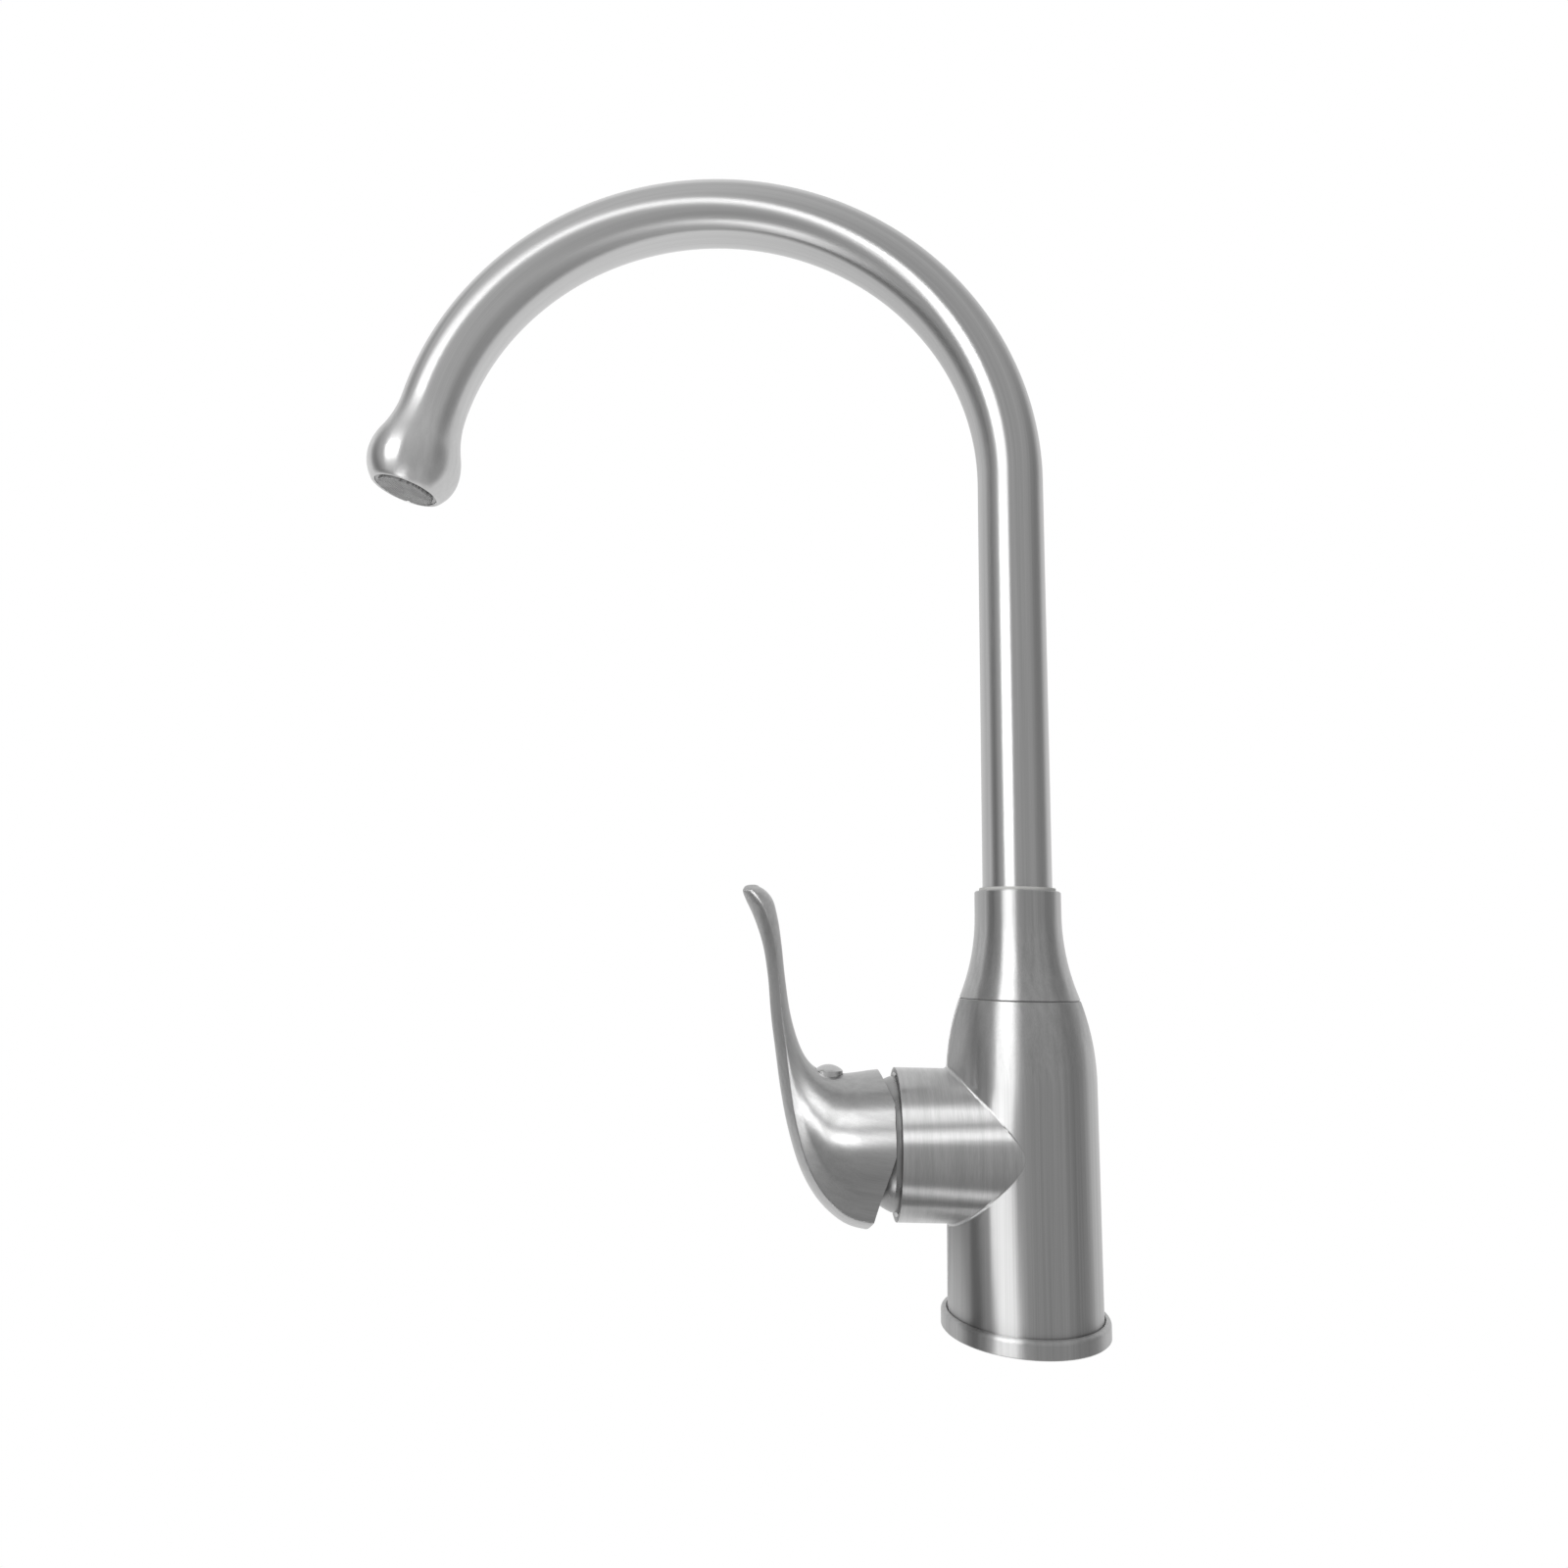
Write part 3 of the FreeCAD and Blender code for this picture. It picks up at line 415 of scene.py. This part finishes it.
def move_ring(way):
    bpy.ops.mesh.extrude_edges_move(TRANSFORM_OT_translate={"value": way})


def mouth_place(height):
    """Place on the mouth's axis at a height above the mouth."""
    return bend_end + down * (bell_length - height)


def through_rings(profile):
    """Extrude the ring through the heights above the mouth and the radii of a profile."""
    for (height, radius), (after, wider) in zip(profile, profile[1:]):
        move_ring(down * (height - after))
        widen_ring(wider / radius, mouth_place(after))


neck = start_ring(tube_r, (0, 0, foot_z))
move_ring((0, 0, bend_z - foot_z))
bpy.ops.mesh.spin(steps=bend_steps, angle=-bend_turn, center=bend_centre, axis=(1, 0, 0))
move_ring((0, 0, 0))
widen_ring(bore_r / tube_r, bend_end)
bpy.ops.mesh.spin(steps=bend_steps, angle=bend_turn, center=bend_centre, axis=(1, 0, 0))
move_ring((0, 0, foot_z - bend_z))
move_ring((0, 0, 0))
widen_ring(tube_r / bore_r, (0, 0, foot_z))
close_ring(neck, "swan_neck")
comb(neck, (0, -1000))

bell = start_ring(tube_r, bend_end, bend_turn)
heights = [bell_length * (1 - step / bell_steps) for step in range(bell_steps)] + [lip_round]
profile = [(height, bell_radius(height)) for height in heights]
profile += [(0.0, lip_r - lip_round), (0.0, mouth_bore_r + lip_round), (lip_round, mouth_bore_r),
            (step_depth, mouth_bore_r), (step_depth, bore_r), (bell_length, bore_r)]
through_rings(profile + profile[:1])
close_ring(bell, "bell")
comb(bell, mouth_place(bell_length / 2).xy)


def bent(place):
    """Streaks that follow the riser, the bend and the bell."""
    x, y, z = place.split()
    reach = y + bend_r
    rise = (z - bend_z).math("MAXIMUM", 0.0)
    radius = (reach * reach + rise * rise).math("SQRT")
    length = rise.math("ARCTAN2", reach) * bend_r + z.math("MINIMUM", bend_z)
    return place.add("CombineXYZ", {"X": x * line, "Y": radius * line, "Z": length * run})


def painted_bend_sheen(place):
    """Painted sheen: the colour of the bend and the bell is mixed a little towards white, standing in
    for the brighter reflections they catch; the riser gets none.
    """
    x, y, z = place.split()
    return (y + bend_r).step(-0.04, 0.09, painted_sheen_share, 0.0)


# Share of white in the painted sheen on the bend and the bell.
painted_sheen_share = 0.20
bell_turn = 0.25 - (math.pi - bend_turn) / (2 * math.pi)
neck.data.materials.append(steel("neck_steel", bent, rough=0.33, spread=0.85, painted_sheen=painted_bend_sheen))
bell.data.materials.append(steel("bell_steel", bent, turn=bell_turn, rough=0.33, spread=0.85,
                                 painted_sheen=painted_bend_sheen))
for piece in (neck, bell):
    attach(piece, "spout")
    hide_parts("spout_tube")

# Brass fitting in the spout's foot and the nut that clamps the valve. Turned bar, with fine
# rings left by the tool.


def turned_brass(name):
    """Brass with the rings of the turning tool and a little tarnish."""
    material = bpy.data.materials.new(name)
    material.use_nodes = True
    start = Wire(material.node_tree)
    place = place_on(start)
    x, y, z = place.split()
    marks = 4000            # of the tool per metre
    rings = start.add("CombineXYZ", {"X": x * 40, "Y": y * marks, "Z": z * marks})
    tool = start.add("TexNoise", {"Vector": rings, "Scale": 1.0, "Detail": 2.0})
    tarnish = start.add("TexNoise", {"Vector": place, "Scale": 120.0, "Detail": 3.0})
    colour = start.add("Mix", {"Factor": tarnish.step(0.35, 0.7), 6: (0.60, 0.42, 0.17, 1),
                               7: (0.48, 0.32, 0.12, 1)}, output=2, data_type="RGBA")
    surface = material.node_tree.nodes["Principled BSDF"]
    surface.inputs["Metallic"].default_value = 1.0
    start.plug(surface.inputs["Base Color"], colour)
    start.plug(surface.inputs["Roughness"], tool.step(0.3, 0.7, 0.24, 0.36))
    start.plug(surface.inputs["Normal"], start.add("Bump", {"Height": tool, "Strength": 0.2,
                                                            "Distance": 0.00003}))
    return material


finish(turned_brass("brass"), "spout_fitting", "retaining_nut")

# Aerator. A threaded shell with a bright rim holds a fine net of grey plastic, the screen, the
# jet plate and the gasket.


def bright(name, tone, rough):
    """Bright steel with hair-fine polishing marks."""
    material = bpy.data.materials.new(name)
    material.use_nodes = True
    start = Wire(material.node_tree)
    place = place_on(start)
    marks = start.add("TexNoise", {"Vector": place, "Scale": 3000.0, "Detail": 2.0})
    smear = start.add("TexNoise", {"Vector": place, "Scale": 220.0, "Detail": 3.0})
    dark = [tone * 0.93] * 3 + [1.0]
    light = [tone * 1.07] * 3 + [1.0]
    colour = start.add("Mix", {"Factor": smear.step(0.3, 0.7), 6: dark, 7: light}, output=2,
                       data_type="RGBA")
    surface = material.node_tree.nodes["Principled BSDF"]
    surface.inputs["Metallic"].default_value = 1.0
    start.plug(surface.inputs["Base Color"], colour)
    start.plug(surface.inputs["Roughness"], smear.step(0.3, 0.7, rough - 0.03, rough + 0.04))
    start.plug(surface.inputs["Normal"], start.add("Bump", {"Height": marks, "Strength": 0.08,
                                                            "Distance": 0.00002}))
    return material


shell_r = 0.0103
shell_in = 0.0091
shell_rim_in = 0.0087
shell_low = 0.0005
shell_top = 0.0081
rim_h = 0.0006
shell = start_ring(shell_r, mouth_place(shell_low), bend_turn)
through_rings([(shell_low, shell_r), (shell_top, shell_r), (shell_top, shell_in),
               (shell_low + rim_h, shell_in), (shell_low + rim_h, shell_rim_in),
               (shell_low, shell_rim_in), (shell_low, shell_r)])
close_ring(shell, "aerator_cup")
shell.data.materials.append(bright("aerator_steel", 0.30, 0.32))
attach(shell, "spout")
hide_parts("aerator_shell")

net_cells = 24
net_low = shell_low + rim_h / 2
net_gap = 0.0003            # from the shell to the corners of the outermost cells
net_wire = 0.00026
net_h = 0.0012
bpy.ops.object.select_all(action="DESELECT")
bpy.ops.mesh.primitive_grid_add(x_subdivisions=net_cells, y_subdivisions=net_cells,
                                size=2 * shell_in, location=mouth_place(net_low),
                                rotation=(bend_turn, 0, 0))
net = bpy.context.object
net.name = "aerator_net"
bpy.ops.object.mode_set(mode="EDIT")
bpy.ops.mesh.select_mode(type="FACE")
bpy.ops.mesh.select_all(action="DESELECT")
bpy.ops.object.mode_set(mode="OBJECT")
for face in net.data.polygons:
    face.select = face.center.length > shell_in - net_gap
bpy.ops.object.mode_set(mode="EDIT")
bpy.ops.mesh.delete(type="FACE")
bpy.ops.mesh.select_all(action="SELECT")
bpy.ops.mesh.inset(thickness=net_wire / 2, use_individual=True)
bpy.ops.mesh.delete(type="FACE")
bpy.ops.mesh.select_mode(type="VERT")
bpy.ops.object.mode_set(mode="OBJECT")
bpy.ops.object.transform_apply(location=True, rotation=True)
thick = net.modifiers.new("thick", "SOLIDIFY")
thick.thickness = net_h
thick.offset = 1.0
bpy.ops.object.modifier_apply(modifier=thick.name)
plastic = moulded("aerator_plastic", (0.20, 0.20, 0.20), (0.26, 0.26, 0.26), 0.45, 1800.0, 0.00003)
net.data.materials.append(plastic)
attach(net, "spout")
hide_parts("aerator_grid")
finish(plastic, "aerator_diffuser")
finish(bright("screen_steel", 0.36, 0.34), "aerator_screen")

# Valve cartridge. Acetal base, shell, rotor and disc carrier round two ceramic discs, all inside
# the boss.

acetal = moulded("acetal", (0.60, 0.60, 0.58), (0.68, 0.68, 0.66), 0.36, 1400.0, 0.00002)
finish(acetal, "cartridge_base", "cartridge_housing", "rotor", "disc_driver")
ceramic = moulded("ceramic", (0.74, 0.73, 0.70), (0.82, 0.81, 0.78), 0.22, 5200.0, 0.00001)
finish(ceramic, "fixed_disc", "moving_disc")
ground_steel = bright("ground_steel", 0.44, 0.34)
finish(ground_steel, "lever_stem", "stem_pin", "grub_screw")

# Trim cap. Spun steel cover over the nut, polished. The hub swings round its ball face, and it
# shows in the gap between the hub and the boss.

# The cap's steel is given a dark tone: painted shade for the gap between the hub and the boss that it
# sits in.
finish(bright("cap_steel_painted_shade", 0.27, 0.30), "trim_cap")

# Lever handle. Hub and lever are one casting. A crowned front face runs from under the hub up to
# the tip, and an edge on each side parts it from the round back. The sections are the CAD's.

boss_reach = 0.0393
boss_z = 0.0526
hub_r = 0.0230
lever_h = 0.0552
edge_round = 0.0006
least_drop = 0.00015        # from the edge to the widest place
between = 4                 # rings from one section to the next
front_points = 4            # from the nose to the edge
back_points = 7             # from the side to the back
# Each section has the place of its back and of its front, as the distance out in mm and the level,
# the share of its depth that lies behind the widest place, the half width there in hub radii, and
# in mm how far the edge lies behind the front and how much fuller than an arc it stands.
lever_sections = [
    (-3.3, 1.000, -3.3, -1.060, 0.730, 0.887, 5.6, 4.6),
    (6.7, 0.957, 9.2, -1.062, 0.705, 0.880, 5.6, 4.8),
    (12.0, 0.920, 15.8, -0.990, 0.712, 0.865, 5.4, 4.6),
    (15.5, 0.900, 22.3, -0.785, 0.705, 0.805, 5.2, 4.2),
    (19.7, 0.893, 28.3, -0.425, 0.660, 0.652, 5.0, 3.3),
    (23.7, 0.939, 33.1, 0.148, 0.610, 0.509, 4.6, 2.2),
    (27.1, 1.020, 35.8, 0.678, 0.560, 0.422, 4.1, 1.0),
    (29.9, 1.103, 37.6, 1.072, 0.520, 0.361, 3.5, 0.2),
    (32.8, 1.261, 39.2, 1.261, 0.420, 0.317, 3.5, 0.1),
    (35.0, 1.487, 40.5, 1.487, 0.350, 0.291, 3.4, 0.1),
    (36.5, 1.697, 42.7, 1.688, 0.330, 0.296, 3.9, 0.1),
    (38.0, 1.844, 45.9, 1.841, 0.400, 0.322, 4.0, 0.2),
    (39.7, 1.935, 48.2, 1.924, 0.500, 0.313, 3.1, 0.3),
    (42.2, 1.983, 49.2, 1.976, 0.550, 0.250, 2.3, 0.2),
    (43.9, 2.000, 48.7, 1.996, 0.550, 0.160, 1.7, 0.1),
]


def lever_place(out, level):
    """Point on the mirror plane from its distance out in mm and its level."""
    up = level * hub_r if level <= 1 else hub_r + (level - 1) * lever_h
    return Vector((0, -boss_reach - out / 1000, boss_z + up))


def arc_points(half, height, count):
    """Points of an arc over a chord, from its top to its end, as (side, drop from the top)."""
    radius = (half**2 + height**2) / (2 * height)
    turn = 2 * math.atan2(height, half)
    short = edge_round / radius
    turns = [(turn - short) * step / count for step in range(count)] + [turn - short, turn]
    return [(radius * math.sin(a), radius * (1 - math.cos(a))) for a in turns]


def lever_ring(section):
    """Points round one section, from the nose by one side to the back."""
    back_out, back_level, front_out, front_level, share, half_width, edge, bulge = section
    nose = lever_place(front_out, front_level)
    heel = lever_place(back_out, back_level)
    back_way = (heel - nose).normalized()
    length = (heel - nose).length
    front_h = (1 - share) * length
    half = half_width * hub_r
    edge_drop = min(edge / 1000, front_h - least_drop)
    front_r = (half**2 + front_h**2) / (2 * front_h)
    edge_half = math.sqrt(front_r**2 - (front_r - edge_drop)**2) + bulge / 1000
    places = arc_points(edge_half, edge_drop, front_points)
    side = Vector((half, front_h)) - Vector((edge_half, edge_drop))
    beside = Vector((edge_half, edge_drop)) + side * min(0.5, edge_round / side.length)
    places.append(tuple(beside))
    back = arc_points(half, length - front_h, back_points)
    places += [(x, length - drop) for x, drop in reversed(back)]
    points = [nose + back_way * drop + Vector((x, 0, 0)) for x, drop in places]
    mirrored = [Vector((-point.x, point.y, point.z)) for point in points[-2:0:-1]]
    return points + mirrored


def between_rings(rings):
    """Add rings so that every line of points runs smoothly through its sections."""
    steps = []
    for ring, after in zip(rings, rings[1:]):
        steps.append(sum((b - a).length for a, b in zip(ring, after)) / len(ring))
    slopes = []
    for place in range(len(rings)):
        low, high = max(place - 1, 0), min(place + 1, len(rings) - 1)
        before = steps[low] if place else steps[0]
        after = steps[place] if place < len(steps) else steps[-1]
        row = []
        for a, b, c in zip(rings[low], rings[place], rings[high]):
            if low == place or high == place:
                row.append((c - a) / (before if high != place else after))
            else:
                row.append(((b - a) / before * after + (c - b) / after * before) / (before + after))
        slopes.append(row)
    result = [rings[0]]
    for place, step in enumerate(steps):
        for part in range(1, between + 1):
            t = part / between
            result.append([
                a * (2 * t**3 - 3 * t**2 + 1) + m * step * (t**3 - 2 * t**2 + t)
                + b * (3 * t**2 - 2 * t**3) + n * step * (t**3 - t**2)
                for a, b, m, n in zip(rings[place], rings[place + 1], slopes[place], slopes[place + 1])])
    return result


rings = between_rings([lever_ring(section) for section in lever_sections])
tip = rings[-1]
tip_middle = sum(tip, Vector()) / len(tip)
for shrink, rise in ((0.82, 0.0004), (0.45, 0.0006)):
    top = tip_middle + Vector((0, 0, rise))
    rings.append([top + (point - tip_middle) * shrink for point in tip])
count = len(tip)
points = [point for ring in rings for point in ring]
faces = [(low + k, low + (k + 1) % count, low + count + (k + 1) % count, low + count + k)
         for low in range(0, len(points) - count, count) for k in range(count)]
faces += [tuple(range(count)), tuple(range(len(points) - count, len(points)))]
mesh = bpy.data.meshes.new("lever")
mesh.from_pydata(points, [], faces)
lever = bpy.data.objects.new("lever", mesh)
bpy.context.scene.collection.objects.link(lever)
bpy.ops.object.select_all(action="DESELECT")
lever.select_set(True)
bpy.context.view_layer.objects.active = lever
bpy.ops.object.mode_set(mode="EDIT")
bpy.ops.mesh.select_all(action="SELECT")
bpy.ops.mesh.normals_make_consistent(inside=False)
bpy.ops.object.mode_set(mode="OBJECT")
smooth = lever.modifiers.new("smooth", "SUBSURF")
smooth.levels = 2
smooth.render_levels = 2
bpy.ops.object.modifier_apply(modifier=smooth.name)

hub_gap = 0.0020            # from the boss's end to the hub's rim
foot_gap = 0.0099           # the same at the hub's foot, where the rim leans back
foot_down = 0.0242
brow_gap = 0.0055           # and at its top
brow_up = 0.0223
brow_start = 0.0145
low_slope = (foot_gap - hub_gap) / foot_down
brow_slope = (brow_gap - hub_gap) / (brow_up - brow_start)
rim_y = -boss_reach - hub_gap
bpy.ops.object.mode_set(mode="EDIT")
for height, normal in ((boss_z, (0, 1, 0)), (boss_z, (0, 1, -low_slope)),
                       (boss_z + brow_start, (0, 1, brow_slope))):
    bpy.ops.mesh.select_all(action="SELECT")
    bpy.ops.mesh.bisect(plane_co=(0, rim_y, height), plane_no=normal, use_fill=True,
                        clear_outer=True)
bpy.ops.object.mode_set(mode="OBJECT")


def cut_out(piece, tool):
    """Take the tool's shape out of the piece."""
    cut = piece.modifiers.new("cut", "BOOLEAN")
    cut.operation = "DIFFERENCE"
    cut.solver = "EXACT"
    cut.object = tool
    bpy.context.view_layer.objects.active = piece
    bpy.ops.object.modifier_apply(modifier=cut.name)
    bpy.data.objects.remove(tool)


cap_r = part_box("trim_cap")[1].x
cap_gap = 0.0021
pivot_y = -0.0330
socket_depth = 0.0324
socket_w = 0.0080
screw_y = -boss_reach - 0.0207
screw_hole_r = 0.00255
button_seat_r = 0.0045
button_seat_z = boss_z + hub_r - 0.0040
top_z = 0.090               # above the hub
bpy.ops.object.select_all(action="DESELECT")
bpy.ops.mesh.primitive_uv_sphere_add(segments=96, ring_count=48, radius=cap_r + cap_gap,
                                     location=(0, pivot_y, boss_z))
cut_out(lever, bpy.context.object)
bpy.ops.mesh.primitive_cube_add(size=1, location=(0, pivot_y - socket_depth / 2, boss_z),
                                scale=(socket_w, socket_depth, socket_w))
cut_out(lever, bpy.context.object)
bpy.ops.mesh.primitive_cylinder_add(vertices=48, radius=screw_hole_r, depth=top_z - boss_z,
                                    location=(0, screw_y, (top_z + boss_z) / 2))
cut_out(lever, bpy.context.object)
bpy.ops.mesh.primitive_cylinder_add(vertices=64, radius=button_seat_r, depth=top_z - button_seat_z,
                                    location=(0, screw_y, (top_z + button_seat_z) / 2))
cut_out(lever, bpy.context.object)
bpy.ops.object.select_all(action="DESELECT")
lever.select_set(True)
bpy.context.view_layer.objects.active = lever
bpy.ops.object.mode_set(mode="EDIT")
bpy.ops.mesh.select_all(action="SELECT")
bpy.ops.mesh.remove_doubles(threshold=1e-6)
bpy.ops.object.mode_set(mode="OBJECT")
bpy.ops.object.shade_smooth_by_angle(angle=math.radians(35))
comb(lever, far_left)


def swept(place):
    """Streaks that run out along the hub and turn up into the lever."""
    x, y, z = place.split()
    back = y - sweep_y
    rise = z - sweep_z
    radius = (back * back + rise * rise).math("SQRT")
    length = rise.math("ARCTAN2", back) * sweep_r
    return place.add("CombineXYZ", {"X": x * line, "Y": radius * line, "Z": length * run})


sweep_y = -0.040            # centre of the streaks' turn
sweep_z = 0.098
sweep_r = 0.05
# The lever's steel is given a darker tone than the tower's: painted shade that dims its highlights, not
# a different metal.
lever.data.materials.append(steel("lever_steel_painted_shade", swept, turn=0.0, tone=0.39, rough=0.40, spread=0.9))
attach(lever, "lever")
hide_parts("lever_handle")

# Index button. Steel cover with a low dome, pressed into the hole over the screw, polished and
# left bare.

finish(bright("button_steel", 0.46, 0.22), "index_button")

# Studio again. Now that the pieces are there, the upper softbox is flagged off the spout, and the
# lamp below is let on to the spout's pieces alone.


def shine_on(lamp, pieces):
    """Let a lamp light these pieces only."""
    lit = bpy.data.collections.new(lamp.name + "_pieces")
    for piece in pieces:
        lit.objects.link(piece)
    lamp.light_linking.receiver_collection = lit


spout_pieces = [neck, bell, shell, net]
shine_on(bounce, spout_pieces)
meshes = [thing for thing in bpy.data.objects if thing.type == "MESH"]
shine_on(upper, [thing for thing in meshes if thing not in spout_pieces])
